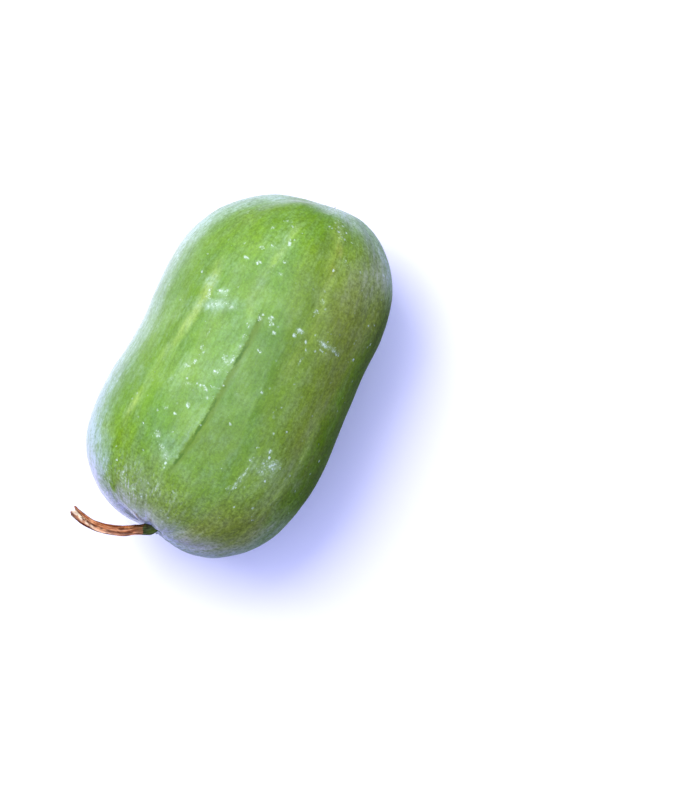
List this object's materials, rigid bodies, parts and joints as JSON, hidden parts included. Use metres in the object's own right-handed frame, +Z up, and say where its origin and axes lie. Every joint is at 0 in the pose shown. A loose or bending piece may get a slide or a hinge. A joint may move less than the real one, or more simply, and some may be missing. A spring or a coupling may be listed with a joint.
{
  "type": "bottle gourd",
  "caption": "Oblong green gourd lying on its side, blunt at both ends with a slight waist and soft ribs, with its curved dry woody stalk.",
  "frame": {"origin": "in the small flat spot on the underside that the fruit rests on, under its weight", "axes": "+X along the fruit from its stalk end to its blossom end, +Y across it towards the waisted flank, +Z up"},
  "size_m": [0.2524, 0.149, 0.141],
  "materials": {
    "rind": "waxy green rind with a pale bloom, satin",
    "stalk": "dry, ridged, matt"
  },
  "bodies": {
    "root": {"fruit": "rind", "stalk": "stalk"}
  },
  "joints": []
}
